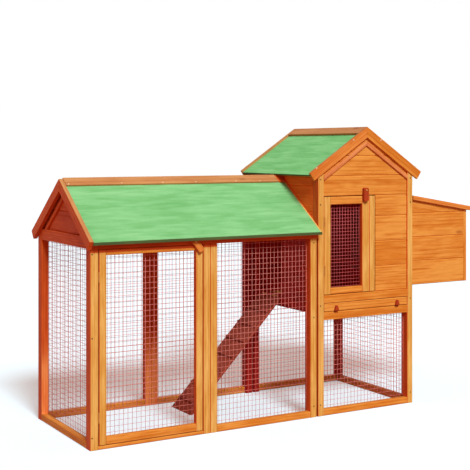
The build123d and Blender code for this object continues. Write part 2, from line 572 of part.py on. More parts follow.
def house_door():
    """The hen house door: a wire window in a frame, with a batten down its closing edge."""
    x = (HOUSE_DOOR_X, HOUSE_DOOR_X + HOUSE_DOOR_WIDTH)
    y = (WALL_SET, WALL_SET + HOUSE_DOOR_THICKNESS)
    z = (HOUSE_DOOR_Z, HOUSE_DOOR_Z + HOUSE_DOOR_HEIGHT)
    batten_x = x[1] - HOUSE_DOOR_BATTEN
    window = (x[0] + HOUSE_DOOR_STILE, batten_x - HOUSE_DOOR_LATCH_STILE)
    window_z = (z[0] + HOUSE_DOOR_RAIL, z[1] - HOUSE_DOOR_TOP_RAIL)
    stiles = [timber((x[0], window[0]), y, z), timber((window[1], batten_x), y, z)]
    rails = [timber(window, y, (z[0], window_z[0])), timber(window, y, (window_z[1], z[1]))]
    lapped_x = (window[0] - WIRE_LAP, window[1] + WIRE_LAP)
    lapped_z = (window_z[0] - WIRE_LAP, window_z[1] + WIRE_LAP)
    wire = wire_facing_y(lapped_x, y[1] + WIRE / 2, lapped_z, WINDOW_PITCH_ALONG, WINDOW_PITCH_UP)
    axis_x = HOUSE_INNER[0] + DOOR_GAP / 2
    places = [Pos(axis_x, -HINGE_STAND, at) for at in (z[0] + DOOR_HINGE_INSET, z[1] - DOOR_HINGE_INSET)]
    hinges = [hinge(place, DOOR_LEAF_WIDTH) for place in places]
    nodes = {
        "house_door_frame": stiles + rails,
        "house_door_batten": [timber((batten_x, x[1]), y, z)],
        "house_door_wire": [wire],
    }
    return nodes, "house_door_hinge_leaves", hinges


def under_house():
    """Wire round the open space under the house, tray runners and the perch inside."""
    height = (GROUND_RAIL_HEIGHT - WIRE_LAP, FLOOR_RAIL_Z + WIRE_LAP)
    plane = RAIL_DEPTH + WIRE / 2
    runner_z = (FLOOR_RAIL_TOP - RUNNER_HEIGHT, FLOOR_RAIL_TOP)
    left = (HOUSE_X + BOARD, HOUSE_INNER[0] + RUNNER_WIDTH)
    right = (HOUSE_END - RAIL_DEPTH - RUNNER_WIDTH, HOUSE_END - RAIL_DEPTH)
    inside = DEPTH - 2 * (WALL_SET + BOARD)
    perch_x = (JAMB_X + JAMB_WIDTH + HOUSE_INNER[1]) / 2
    perch = Pos(perch_x, MIDDLE_Y, PERCH_Z) * Rot(90, 0, 0) * Cylinder(PERCH_RADIUS, inside)
    return {
        "under_house_wire": [wire_facing_y(HOUSE_INNER, plane, height),
                             wire_facing_x(HOUSE_END - plane, BETWEEN_POSTS, height),
                             wire_facing_y(HOUSE_INNER, DEPTH - plane, height)],
        "tray_runners": [block(left, BETWEEN_POSTS, runner_z), block(right, BETWEEN_POSTS, runner_z)],
        "perch": [perch],
    }


def tray():
    """The pull-out dropping tray: a base with three sides behind a wooden front with two pulls."""
    front_x = (HOUSE_INNER[0] + SLIDE_GAP, HOUSE_INNER[1] - SLIDE_GAP)
    front_z = (TRAY_FRONT_Z, TRAY_FRONT_Z + TRAY_FRONT_HEIGHT)
    base_z = (FLOOR_RAIL_TOP + REST_GAP, FLOOR_RAIL_TOP + REST_GAP + TRAY_BASE)
    side_z = (base_z[1], base_z[1] + TRAY_SIDE_HEIGHT)
    deep = (TRAY_FRONT, DEPTH - RAIL_DEPTH - TRAY_BACK_GAP)
    left = (front_x[0], front_x[0] + TRAY_SIDE)
    right = (front_x[1] - TRAY_SIDE, front_x[1])
    back = (deep[1] - TRAY_SIDE, deep[1])
    sides = [block(x, y, side_z) for x, y in ((left, deep), (right, deep), ((left[1], right[0]), back))]
    half_base, half_tip = PULL_BASE / 2, PULL_TIP / 2
    outline = [(-half_base, 0), (half_base, 0), (half_tip, PULL_HEIGHT), (-half_tip, PULL_HEIGHT)]
    pull = prism(outline, FRONT_TO_BACK, (-PULL_DEPTH, 0))
    pull = chamfer(pull.faces().sort_by(Axis.Y)[0].edges(), EASE)
    places = (front_x[0] + PULL_INSET, front_x[1] - PULL_INSET)
    return {
        "tray_front": [timber(front_x, (0, TRAY_FRONT), front_z)],
        "tray_pan": [block(front_x, deep, base_z)] + sides,
        "tray_pulls": [Pos(at, 0, front_z[0] + EASE) * pull for at in places],
    }


def nest_slope(x, rise=0.0):
    """Height of a plane parallel to the nest box's sloping top."""
    return NEST_WALL_Z - (x - HOUSE_END) * tan(radians(NEST_PITCH)) + rise / cos(radians(NEST_PITCH))


def nest_band(x, bottom, top):
    """A strip parallel to the nest box's top, between two offsets and with plumb ends."""
    return [(x[0], nest_slope(x[0], bottom)), (x[1], nest_slope(x[1], bottom)),
            (x[1], nest_slope(x[1], top)), (x[0], nest_slope(x[0], top))]


def nest_box():
    """The nest box on the right wall, open to the house, with boarded sides and corner strips."""
    outside = (NEST_SET, DEPTH - NEST_SET)
    boards_x = (HOUSE_END, NEST_END - NEST_CORNER)
    corner_x = (NEST_END - NEST_CORNER, NEST_END)
    levels = courses(NEST_Z, nest_slope(HOUSE_END), NEST_BOARD_WIDTH)
    room = prism([(HOUSE_END, NEST_Z), (NEST_END, NEST_Z), (NEST_END, nest_slope(NEST_END)),
                  (HOUSE_END, nest_slope(HOUSE_END))], FRONT_TO_BACK, outside)
    sides, corners = [], []
    for y, face_y in zip(both_sides((NEST_SET, NEST_SET + BOARD)), outside):
        wall = room & block(boards_x, y, (0, TALL))
        sides += board_wall(wall, ALONG, Plane.XZ.offset(-face_y), levels)
    for y in both_sides((NEST_SET, NEST_SET + NEST_CORNER)):
        corners.append(timber(corner_x, y, (NEST_Z, TALL)) & room)
    end_y = (NEST_SET + NEST_CORNER, DEPTH - NEST_SET - NEST_CORNER)
    end_wall = room & block((NEST_END - BOARD, NEST_END), end_y, (0, TALL))
    end_levels = courses(NEST_Z, nest_slope(NEST_END - BOARD), NEST_BOARD_WIDTH)
    floor = block((HOUSE_END, NEST_END - BOARD), (NEST_SET + BOARD, DEPTH - NEST_SET - BOARD),
                  (NEST_Z, NEST_Z + NEST_FLOOR))
    for y in both_sides((NEST_SET, NEST_SET + NEST_CORNER)):
        floor -= block(corner_x, y, (NEST_Z, TALL))
    return {
        "nest_side_boards": sides,
        "nest_end_boards": board_wall(end_wall, FRONT_TO_BACK, Plane.YZ.offset(NEST_END), end_levels),
        "nest_corner_strips": corners,
        "nest_floor": [floor],
    }


def nest_lid():
    """The nest box's lid, hinged on the house wall, with trim that hangs over the box."""
    x = (HOUSE_END + LID_GAP, LID_END - LID_TRIM)
    inner_y = (NEST_SET - LID_SIDE_GAP, DEPTH - NEST_SET + LID_SIDE_GAP)
    outer_y = (inner_y[0] - LID_TRIM, inner_y[1] + LID_TRIM)
    panel = prism(nest_band(x, REST_GAP, LID), FRONT_TO_BACK, inner_y)
    edge = nest_band(x, -LID_TRIM_DROP, LID)
    trims = [prism(edge, FRONT_TO_BACK, y) for y in both_sides((outer_y[0], inner_y[0]))]
    trims.append(prism(nest_band((x[1], LID_END), -LID_TRIM_DROP, LID), FRONT_TO_BACK, outer_y))
    axis = Pos(HOUSE_END + HINGE_STAND, 0, nest_slope(x[0], LID) + HINGE_STAND) * Rot(-90, 0, 0)
    places = [Pos(0, at, 0) * axis for at in (LID_HINGE_INSET, DEPTH - LID_HINGE_INSET)]
    hinges = [hinge(place, SHORT_LEAF_WIDTH, LID_GAP) for place in places]
    return {"nest_lid_panel": [panel], "nest_lid_trims": trims}, "nest_lid_hinge_leaves", hinges


def ramp():
    """The ramp from the run's ground to the doorway, hinged on the house wall."""
    slope = tan(radians(RAMP_PITCH))
    drop = RAMP_THICKNESS / cos(radians(RAMP_PITCH))
    end = HOUSE_X - DOOR_GAP
    outline = [(end, DOORWAY_Z), (end - (DOORWAY_Z - RAMP_FOOT_GAP) / slope, RAMP_FOOT_GAP),
               (end - (DOORWAY_Z - drop - RAMP_FOOT_GAP) / slope, RAMP_FOOT_GAP), (end, DOORWAY_Z - drop)]
    across = centred(DOORWAY_Y, RAMP_WIDTH)
    board = prism(outline, FRONT_TO_BACK, across)
    length = (DOORWAY_Z - RAMP_FOOT_GAP) / sin(radians(RAMP_PITCH))
    count = int((length - CLEAT_PITCH / 2) / CLEAT_PITCH)
    cleat = Pos(0, 0, CLEAT_HEIGHT / 2) * Box(CLEAT_WIDTH, RAMP_WIDTH - 2 * CLEAT_INSET, CLEAT_HEIGHT)
    top = Pos(end, DOORWAY_Y, DOORWAY_Z) * Rot(0, -RAMP_PITCH, 0)
    cleats = [top * Pos(-CLEAT_PITCH * (i + 1), 0, 0) * cleat for i in range(count)]
    axis = Pos(HOUSE_X - DOOR_GAP / 2, 0, DOORWAY_Z + HINGE_STAND) * Rot(0, 0, 180) * Rot(-90, 0, 0)
    places = [Pos(0, at, 0) * axis for at in (across[0] + RAMP_HINGE_INSET, across[1] - RAMP_HINGE_INSET)]
    hinges = [hinge(place, SHORT_LEAF_WIDTH) for place in places]
    return {"ramp_board": [board], "ramp_cleats": cleats}, "ramp_hinge_leaves", hinges


def buttons():
    """The two turn buttons and the screws that they turn on."""
    screws = [RUN_BUTTON * Pos(0, BUTTON_GAP, 0) * button_screw(-BUTTON_GAP),
              HOUSE_BUTTON * Pos(0, BUTTON_GAP, 0) * button_screw(-BUTTON_GAP)]
    return {
        "run_door_button": [RUN_BUTTON * Rot(0, -RUN_BUTTON_TILT, 0) * turn_button()],
        "house_door_button": [HOUSE_BUTTON * turn_button()],
        "button_screws": screws,
    }


nodes = {}
for fixed_part in (run_frame, run_gable, run_roof, run_wire, house_frame, house_walls, house_roof,
                   under_house, tray, nest_box, buttons):
    nodes.update(fixed_part())
nodes["hinge_frame_leaves"] = []
for hung_part in (run_door, house_door, nest_lid, ramp):
    pieces, leaves_node, hinges = hung_part()
    nodes.update(pieces)
    nodes[leaves_node] = [moving for fixed, moving in hinges]
    nodes["hinge_frame_leaves"] += [fixed for fixed, moving in hinges]

to_origin = Pos(-(LID_END - RUN_BARGE) / 2, -MIDDLE_Y, 0)
os.makedirs("parts", exist_ok=True)
for name, pieces in nodes.items():
    solids = [to_origin * solid for piece in pieces for solid in piece.solids()]
    export_step(Compound(children=solids), f"parts/{name}.step")
    print(f"{name}: {len(solids)} solids")
print(f"{len(nodes)} nodes, origin at x {(LID_END - RUN_BARGE) / 2:.2f}, y {MIDDLE_Y:.2f} of the layout")
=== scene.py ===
# %% [markdown]
# # A timber chicken cage
#
# The cage is a wire run with a gabled roof, joined to a hen house that stands on posts. Its solids come
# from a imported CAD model, which stays where it is. This lesson dresses those solids: it gives each board
# its own grain, strings real wire across the frames, and lights the whole thing as a studio would.

# %% The fixed frame
import json
import math
import random

import bmesh
import bpy
from mathutils import Matrix, Vector
from mathutils.bvhtree import BVHTree

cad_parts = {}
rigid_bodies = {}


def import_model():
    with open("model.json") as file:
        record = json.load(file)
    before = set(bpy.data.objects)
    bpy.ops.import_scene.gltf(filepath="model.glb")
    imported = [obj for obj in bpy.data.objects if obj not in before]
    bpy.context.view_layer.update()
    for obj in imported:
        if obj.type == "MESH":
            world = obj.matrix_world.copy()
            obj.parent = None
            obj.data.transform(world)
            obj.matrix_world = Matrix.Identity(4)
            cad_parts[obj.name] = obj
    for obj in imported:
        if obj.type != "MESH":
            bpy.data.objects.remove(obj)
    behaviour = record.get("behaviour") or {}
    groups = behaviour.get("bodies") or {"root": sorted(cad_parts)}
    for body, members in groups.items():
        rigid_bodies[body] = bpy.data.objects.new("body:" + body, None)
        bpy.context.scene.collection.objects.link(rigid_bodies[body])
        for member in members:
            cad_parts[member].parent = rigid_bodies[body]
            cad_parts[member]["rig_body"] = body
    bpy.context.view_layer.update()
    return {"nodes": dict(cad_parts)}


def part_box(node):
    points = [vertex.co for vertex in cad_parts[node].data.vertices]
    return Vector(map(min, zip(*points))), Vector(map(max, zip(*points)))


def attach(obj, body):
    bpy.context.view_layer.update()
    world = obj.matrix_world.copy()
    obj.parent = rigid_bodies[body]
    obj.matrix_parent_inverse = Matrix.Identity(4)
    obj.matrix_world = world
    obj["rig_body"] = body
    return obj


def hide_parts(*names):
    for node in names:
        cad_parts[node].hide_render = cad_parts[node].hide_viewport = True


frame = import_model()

nodes = frame["nodes"]

# %% [markdown]
# ## The camera
#
# The posts in the photograph are upright and parallel, so the camera was level and the picture was
# cropped off centre. Tilting the camera would make the posts lean. A level camera with a lens shift keeps
# them upright, so that is used.

# %% A level camera with a shifted lens
IMAGE_SIDE = 470
FOCAL_PIXELS = 1072.8
OPTICAL_CENTRE = (236.7, 148.7)
SENSOR = 36.0
CAMERA_PLACE = Vector((-2.6275, -4.256, 1.197))
YAW = math.radians(30.24)

camera_data = bpy.data.cameras.new("photo_camera")
camera_data.sensor_width = SENSOR
camera_data.lens = FOCAL_PIXELS * SENSOR / IMAGE_SIDE
camera_data.shift_x = (IMAGE_SIDE / 2 - OPTICAL_CENTRE[0]) / IMAGE_SIDE
camera_data.shift_y = (OPTICAL_CENTRE[1] - IMAGE_SIDE / 2) / IMAGE_SIDE
camera = bpy.data.objects.new("photo_camera", camera_data)
camera.location = CAMERA_PLACE
camera.rotation_euler = (math.pi / 2, 0, -YAW)
bpy.context.scene.collection.objects.link(camera)
bpy.context.scene.camera = camera
print(f"lens {camera_data.lens:.1f} mm, shift {camera_data.shift_x:.4f}, {camera_data.shift_y:.4f}")

# %% [markdown]
# ## Shader maths as Python
#
# A material is a graph of nodes, and drawing one by hand in code takes many lines. Here a small class
# wraps a socket, so that `1 - mask` adds the Math node it needs. One method makes every other kind of
# node.

# %% A socket that can be used in sums
class Shade:
    """A socket in a material's node tree. Sums on it add Math nodes to the tree."""

    def __init__(self, tree, socket=None):
        self.tree = tree
        self.socket = socket

    def node(self, kind, settings=None, inputs=None, output=0):
        made = self.tree.nodes.new(kind)
        for name, value in (settings or {}).items():
            setattr(made, name, value)
        for name, value in (inputs or {}).items():
            if isinstance(value, Shade):
                self.tree.links.new(value.socket, made.inputs[name])
            else:
                made.inputs[name].default_value = value
        return Shade(self.tree, made.outputs[output])

    def math(self, operation, first, second=0.0):
        return self.node("ShaderNodeMath", {"operation": operation}, {0: first, 1: second})

    def __add__(self, other):
        return self.math("ADD", self, other)

    def __sub__(self, other):
        return self.math("SUBTRACT", self, other)

    def __rsub__(self, other):
        return self.math("SUBTRACT", other, self)

    def __mul__(self, other):
        return self.math("MULTIPLY", self, other)

    __radd__ = __add__
    __rmul__ = __mul__

    def stretch(self, amounts):
        return self.node("ShaderNodeVectorMath", {"operation": "MULTIPLY"}, {0: self, 1: amounts})

    def noise(self, scale, detail=2.0, roughness=0.5):
        values = {"Vector": self, "Scale": scale, "Detail": detail, "Roughness": roughness}
        return self.node("ShaderNodeTexNoise", None, values, "Fac")

    def between(self, low, high):
        """0 below low, 1 above high, and a smooth step from one to the other."""
        values = {"Value": self, "From Min": low, "From Max": high}
        return self.node("ShaderNodeMapRange", {"interpolation_type": "SMOOTHSTEP"}, values)

    def tint(self, low, high):
        """The colour low where this mask is 0, and high where it is 1."""
        return self.node("ShaderNodeMix", {"data_type": "RGBA"}, {0: self, 6: low, 7: high}, 2)

    def bump(self, distance, strength=1.0):
        values = {"Strength": strength, "Distance": distance, "Height": self}
        return self.node("ShaderNodeBump", None, values)


# %% Colours and surfaces
def colour(red, green, blue):
    """A colour written as on a screen, from 0 to 255, as the linear one that a shader takes."""
    scaled = [part / 255 for part in (red, green, blue)]
    linear = [part / 12.92 if part <= 0.04045 else ((part + 0.055) / 1.055) ** 2.4 for part in scaled]
    return (*linear, 1.0)


def new_material(name):
    material = bpy.data.materials.new(name)
    material.use_nodes = True
    return material, Shade(material.node_tree)


def surface(material, constants, **varying):
    """Set a material's main shader: plain numbers on its sockets, and links for what changes over it."""
    shader = material.node_tree.nodes["Principled BSDF"]
    for name, value in constants.items():
        shader.inputs[name].default_value = value
    for name, shade in varying.items():
        material.node_tree.links.new(shade.socket, shader.inputs[name.replace("_", " ")])
    print("finish:", material.name)
    return material


print("middle grey on a screen is", round(colour(128, 128, 128)[0], 3), "in linear light")

# %% [markdown]
# ## Stained wood
#
# The cage is planed fir with an orange stain. Close up, such a board shows growth rings cut along the
# log, a few small knots, blotches where the stain sank in, and fine fibres. An image of wood would repeat
# on every board. Instead each board carries its own coordinates, along, across and through the grain, and
# the rings are worked out from those. In shade the stain looks red, so boards that lie in shade get
# redder colours, which are painted shade. One finish changes with height: the posts at the back of the
# run are painted shade above, and orange at the foot, which is painted sunlight where the sun comes in
# under the roof.

# %% A finish that follows each board's own grain
RING_SPACING = 0.011
WAVES_PER_UNIT = 20 / (2 * math.pi)
# Stretches along, across and through the grain.
LOG_STRETCH = (0.045, 1, 1)
BLOTCHES = (4.0, 12, 12)
STREAKS = (9.0, 95, 95)
FIBRES = (26, 900, 900)
BRANCHES = (2.6, 7, 7)

KNOT_CORE = 0.03
KNOT_EDGE = 0.09
# Painted sunlight at the foot of the back posts fades out between these heights.
FOOT_SUN = (0.2, 0.36)  # the sunlight fades between these heights
WOOD_ROUGHNESS = 0.6
WOOD_SHINE = 0.12
FIBRE_HEIGHT = 0.0003


def stained_wood(name, pale, deep, dark, foot=None):
    """Wood in three colours of one stain. A foot is a second three, painted sunlight, which take over near
    the ground.
    """
    material, start = new_material(name)
    if foot:
        place = start.node("ShaderNodeTexCoord", None, None, "Object")
        painted_sun = 1 - place.node("ShaderNodeSeparateXYZ", None, {0: place}, "Z").between(*FOOT_SUN)
        pale, deep, dark = (painted_sun.tint(above, below) for above, below in zip((pale, deep, dark), foot))
    grain = start.node("ShaderNodeAttribute", {"attribute_name": "grain"}, None, "Vector")
    tone = start.node("ShaderNodeAttribute", {"attribute_name": "tone"}, None, "Fac")
    ring_settings = {"wave_type": "RINGS", "rings_direction": "X", "wave_profile": "SAW"}
    ring_values = {"Vector": grain.stretch(LOG_STRETCH), "Scale": 1 / (RING_SPACING * WAVES_PER_UNIT),
                   "Distortion": 7.0, "Detail": 2.0, "Detail Scale": 0.35, "Detail Roughness": 0.6}
    rings = start.node("ShaderNodeTexWave", ring_settings, ring_values, "Fac")
    blotch = grain.stretch(BLOTCHES).noise(1.0, 3.0, 0.55).between(0.34, 0.7)
    streak = grain.stretch(STREAKS).noise(1.0, 3.0, 0.6).between(0.3, 0.7)
    fibre = grain.stretch(FIBRES).noise(1.0, 2.0)
    branches = {"Vector": grain.stretch(BRANCHES), "Scale": 1.0}
    knot = 1 - start.node("ShaderNodeTexVoronoi", None, branches, "Distance").between(KNOT_CORE, KNOT_EDGE)
    late = rings.between(0.55, 1.0)
    stain = (0.45 * blotch + 0.34 * streak + 0.3 * tone - 0.3 * late + 0.08).between(0.0, 1.0)
    body = stain.tint(deep, pale)
    lined = (0.22 * late * (1.1 - blotch) + 0.16 * (1 - streak)).tint(body, dark)
    fine = (0.14 * fibre + 0.6 * knot).tint(lined, dark)
    return surface(material, {"Specular IOR Level": WOOD_SHINE}, Base_Color=fine,
                   Roughness=WOOD_ROUGHNESS + 0.16 * (fibre - 0.5) + 0.06 * late,
                   Normal=(0.5 * fibre + 0.5 * (1 - late)).bump(FIBRE_HEIGHT, 0.45))


print("rings are", RING_SPACING * 1000, "mm apart")

# %% The stains, and copies of them for painted shade
# PAINTED_SHADE is the stain made redder and darker, as it looks in shade: painted shade. SUNLIT is painted
# sunlight.
PAINTED_SHADE = (colour(231, 104, 41), colour(211, 79, 27), colour(154, 47, 16))
SUNLIT = (colour(255, 160, 90), colour(250, 128, 64), colour(190, 84, 40))
honey_wood = stained_wood("honey_wood", colour(241, 189, 106), colour(222, 153, 62), colour(174, 100, 36))
orange_wood = stained_wood("orange_wood", colour(240, 162, 74), colour(219, 123, 34), colour(164, 76, 18))
painted_shade_wood = stained_wood("painted_shade_wood", *PAINTED_SHADE)
trim_wood = stained_wood("trim_wood", colour(240, 156, 76), colour(222, 120, 43), colour(166, 74, 25))
ridge_wood = stained_wood("ridge_wood", colour(206, 146, 92), colour(192, 122, 72), colour(148, 84, 48))
salmon_wood = stained_wood("salmon_wood", colour(240, 158, 98), colour(222, 122, 66), colour(166, 76, 40))
# Except for the accent stain, the woods from here on are painted shade: the ramp, the left wall, the
# inside of the house, the back posts and the dark inner parts. The back posts also get painted sunlight at
# the foot.
ramp_shade_wood = stained_wood("ramp_shade_wood", colour(172, 74, 52), colour(148, 56, 40), colour(100, 32, 24))
left_shade_wood = stained_wood("left_shade_wood", colour(255, 117, 44), colour(250, 94, 30), colour(190, 58, 18))
accent_wood = stained_wood("accent_wood", colour(188, 70, 30), colour(166, 52, 22), colour(112, 32, 14))
inside_shade_wood = stained_wood("inside_shade_wood", colour(222, 34, 36), colour(198, 25, 27), colour(136, 12, 14))
shade_and_sun_wood = stained_wood("shade_and_sun_wood", *PAINTED_SHADE, SUNLIT)
dark_shade_wood = stained_wood("dark_shade_wood", colour(196, 42, 33), colour(170, 28, 24), colour(114, 14, 14))

# %% [markdown]
# ## Boards from solids
#
# A CAD node holds several boards in one mesh of loose triangles. Merging them all would weld boards that
# only touch. Each solid's triangles come in one run, though, and a run is complete when each edge has met
# its opposite. So every board is taken out alone, merged, given its own grain, and its sharp edges are
# eased as a plane would ease them.

# %% One solid at a time
FLAT = math.radians(0.5)
MERGE = 1e-6
DECIMALS = 6


def solid_runs(mesh):
    """The first and last triangle of each closed solid in a node's mesh."""
    unmatched = set()
    first = 0
    for face in mesh.polygons:
        corners = [tuple(round(part, DECIMALS) for part in mesh.vertices[i].co) for i in face.vertices]
        for a, b in zip(corners, corners[1:] + corners[:1]):
            if (b, a) in unmatched:
                unmatched.remove((b, a))
            else:
                unmatched.add((a, b))
        if not unmatched:
            yield first, face.index
            first = face.index + 1


def solids_of(node):
    """Each solid of a CAD node as a bmesh of its own, with its flat faces whole again."""
    source = nodes[node].data
    for first, last in solid_runs(source):
        solid = bmesh.new()
        solid.from_mesh(source)
        others = [face for face in solid.faces if not first <= face.index <= last]
        bmesh.ops.delete(solid, geom=others, context="FACES")
        bmesh.ops.remove_doubles(solid, verts=solid.verts[:], dist=MERGE)
        bmesh.ops.dissolve_limit(solid, angle_limit=FLAT, verts=solid.verts[:], edges=solid.edges[:])
        yield solid


print("solids in house_front_boards:", len(list(solid_runs(nodes["house_front_boards"].data))))

# %% Cuts and eased edges
SHARP = math.radians(25)


def part_at(solid, place, outward, cut_off=False):
    """Part a solid's faces along a plane. With cut_off, what lies past it goes and the cut is closed."""
    everything = [*solid.verts, *solid.edges, *solid.faces]
    bmesh.ops.bisect_plane(solid, geom=everything, plane_co=place, plane_no=outward, clear_outer=cut_off)
    if cut_off:
        bmesh.ops.holes_fill(solid, edges=[edge for edge in solid.edges if edge.is_boundary], sides=0)


def ease_edges(solid, offset):
    sharp = [edge for edge in solid.edges if edge.is_manifold and edge.calc_face_angle(0) > SHARP]
    made = bmesh.ops.bevel(solid, geom=sharp, offset=offset, affect="EDGES", segments=2, profile=0.5,
                           material=-1, clamp_overlap=True)
    for face in made["faces"]:
        face.smooth = True


print("an edge is eased where its faces turn by more than", round(math.degrees(SHARP)), "degrees")

# %% Grain for each board
GRAIN_SEED = 11
ALONG_LOG = (0, 60)
ACROSS_LOG = (-0.05, 0.05)
FROM_PITH = (0.015, 0.09)
tones = random.Random(GRAIN_SEED)


def board_axes(solid):
    """Along, across and through a board, from its longest edges."""
    sides = [edge.verts[1].co - edge.verts[0].co for edge in solid.edges]
    along = max(sides, key=lambda side: side.length).normalized()
    level = [side - along * side.dot(along) for side in sides]
    across = max(level, key=lambda side: side.length).normalized()
    return along, across, along.cross(across)


def give_grain(solid, axes):
    """Write each point's place in its log, so that no two boards are cut from the same spot."""
    grain = solid.verts.layers.float_vector.new("grain")
    tone = solid.verts.layers.float.new("tone")
    place = Vector((tones.uniform(*ALONG_LOG), tones.uniform(*ACROSS_LOG), tones.uniform(*FROM_PITH)))
    shade = tones.random()
    middle = sum((vert.co for vert in solid.verts), Vector()) / len(solid.verts)
    for vert in solid.verts:
        vert[grain] = Vector([(vert.co - middle).dot(axis) for axis in axes]) + place
        vert[tone] = shade


def finish_solid(joined, solid, axes, ease):
    """Ease a solid's edges, give it grain, and add it to the mesh of a piece."""
    ease_edges(solid, ease)
    give_grain(solid, axes)
    mesh = bpy.data.meshes.new("solid")
    solid.to_mesh(mesh)
    solid.free()
    joined.from_mesh(mesh)
    bpy.data.meshes.remove(mesh)


print("each board starts somewhere in the first", ALONG_LOG[1], "metres of its log")

# %% A node's boards as one piece
EASE = 0.0008
UP = Vector((0, 0, 1))


def add_piece(name, mesh_data, finishes, body, replaced):
    """Put a finished bmesh in the scene as a piece that rides on a body and stands for CAD nodes."""
    mesh = bpy.data.meshes.new(name)
    mesh_data.to_mesh(mesh)
    mesh_data.free()
    for finish in finishes:
        mesh.materials.append(finish)
    piece = bpy.data.objects.new(name, mesh)
    bpy.context.scene.collection.objects.link(piece)
    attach(piece, body)
    if replaced:
        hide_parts(*replaced)
    print(f"{name}: {len(mesh.polygons)} faces")


def dress_boards(node, finishes, pick=None, cuts=()):
    """Dress each board of a node. Where there are several finishes, pick says which one a face takes.

    Faces that cross a height in cuts are parted there, so that each part can take a finish of its own.
    """
    joined = bmesh.new()
    for solid in solids_of(node):
        axes = board_axes(solid)
        for height in cuts:
            part_at(solid, (0, 0, height), UP)
        for face in solid.faces:
            face.material_index = pick(face.normal, axes[0], face.calc_center_median()) if pick else 0
        finish_solid(joined, solid, axes, EASE)
    add_piece(f"{node}.wood", joined, finishes, nodes[node]["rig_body"], [node])


print("edges are eased by", EASE * 1000, "mm")

# %% [markdown]
# ## Posts, rails and door frames
#
# The square timbers are planed bars, so their CAD solids have the right shape already. The eased edges
# and the grain are all that they need. The uprights took the stain paler than the rails, so a rail gets a
# finish of its own. Left and inner faces lie in shade, and their redder colour is painted shade. So is
# the red of the run's top rails and of the strip of wood just under its front eave, where a cut across
# each post gives the sharp line that the eave's shadow has. The fronts of the run's back posts are
# painted shade above and painted sunlight at the foot.

# %% Which finish a timber's face takes
FACING = 0.5
LEFT = Vector((-1, 0, 0))
FRONT = Vector((0, -1, 0))
HOUSE_SIDE = 0.0  # posts to the right of this stand against the house
# Front faces of the run above this height take the red of painted shade, for the eave's shadow.
EAVE_SHADE = 0.7834  # the shade of the front eave ends at this height


def faces(normal, way):
    return normal.dot(way) > FACING


def pick_timber(normal, along, centre):
    """0 for uprights, 1 for rails, 2 for left and inner faces and 3 for inner ones at the house's back, in
    painted shade.
    """
    if abs(along.dot(UP)) < FACING:
        return 1
    inner = centre.y > 0 and (faces(normal, LEFT) or faces(normal, FRONT))
    if inner and centre.x > HOUSE_SIDE:
        return 3
    return 2 if inner or faces(normal, LEFT) else 0


def pick_run_timber(normal, along, centre):
    """As pick_timber, but 2 just under the front eave, a painted shadow, and 4 for the front of a post at
    the back, painted shade with painted sunlight at the foot.
    """
    if faces(normal, FRONT) and centre.x < HOUSE_SIDE:
        if centre.y > 0:
            return 4
        if centre.z > EAVE_SHADE:
            return 2
    return pick_timber(normal, along, centre)


eave_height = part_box("run_roof_front")[0][2]
print(f"the shade of the front eave is {(eave_height - EAVE_SHADE) * 1000:.0f} mm deep")

# %% The square timbers
TIMBERS = ["run_corner_posts", "run_centre_posts", "run_ground_rails", "run_door_sill", "house_posts",
           "house_wall_plates", "house_floor_rails", "house_ground_rails", "house_panel_rail",
           "house_door_framing", "run_door_frame", "house_door_frame", "house_door_batten", "tray_front"]
UNDER_EAVE = ("run_corner_posts", "run_centre_posts", "run_door_frame")
# Finishes 2 and 3 are painted shade, and 4 is painted shade with painted sunlight at the foot.
TIMBER_FINISHES = [honey_wood, orange_wood, painted_shade_wood, dark_shade_wood]
for timber in TIMBERS:
    if timber in UNDER_EAVE:
        dress_boards(timber, [*TIMBER_FINISHES, shade_and_sun_wood], pick_run_timber, [EAVE_SHADE])
    else:
        dress_boards(timber, TIMBER_FINISHES, pick_timber)
# These rails lie in shade, and their red is painted shade.
for rail in ("run_gable_rail", "run_top_rails"):
    dress_boards(rail, [painted_shade_wood])
# The sill, perch and tray runners lie in the dark inside, and their maroon is painted shade.
for bar in ("doorway_sill", "perch", "tray_runners"):
    dress_boards(bar, [dark_shade_wood])
dress_boards("nest_corner_strips", [orange_wood])

# %% [markdown]
# ## Wall boards
#
# Walls, gables and the nest box are thin boards laid edge to edge, with a vee where two meet. The vees
# are in the solids already, so light and shade draw the joints, and nothing has to be painted on. The
# inside of the house and the wall inside the run are painted a deep red, as shade, and an inner face is
# found by the way that it points. The left wall is parted at the run's eave: it lies in shade, and it is
# painted a lighter shade above the eave than below. The gable of the run, in shade too, is painted red,
# and the ramp is painted a dull red, as shade.

# %% The boards
UNDER_RUN_ROOF = 0.8  # the height that parts the wall inside the run from the rest
INWARD = {"house_front_boards": -FRONT, "house_back_boards": FRONT, "house_right_boards": LEFT}


def pick_left_wall(normal, along, centre):
    """Painted shade: 0 for the outside above the run's eave, 1 for the inside of the house, 2 for the side
    in the run.
    """
    if faces(normal, -LEFT):
        return 1
    return 2 if centre.z < UNDER_RUN_ROOF else 0


# Faces that point into the house take a deep red, which is painted shade.
for wall, inward in INWARD.items():
    dress_boards(wall, [orange_wood, inside_shade_wood],
                 lambda normal, along, centre: int(faces(normal, inward)))
dress_boards("house_left_boards", [left_shade_wood, inside_shade_wood, dark_shade_wood], pick_left_wall,
             [UNDER_RUN_ROOF])
# The run's gable lies in shade, and its red is painted shade.
dress_boards("run_gable_boards", [painted_shade_wood])
for board in ("nest_side_boards", "nest_end_boards", "nest_floor", "tray_pan"):
    dress_boards(board, [orange_wood])
# The ramp lies in shade, and its dull red is painted shade.
for board in ("ramp_board", "ramp_cleats"):
    dress_boards(board, [ramp_shade_wood])

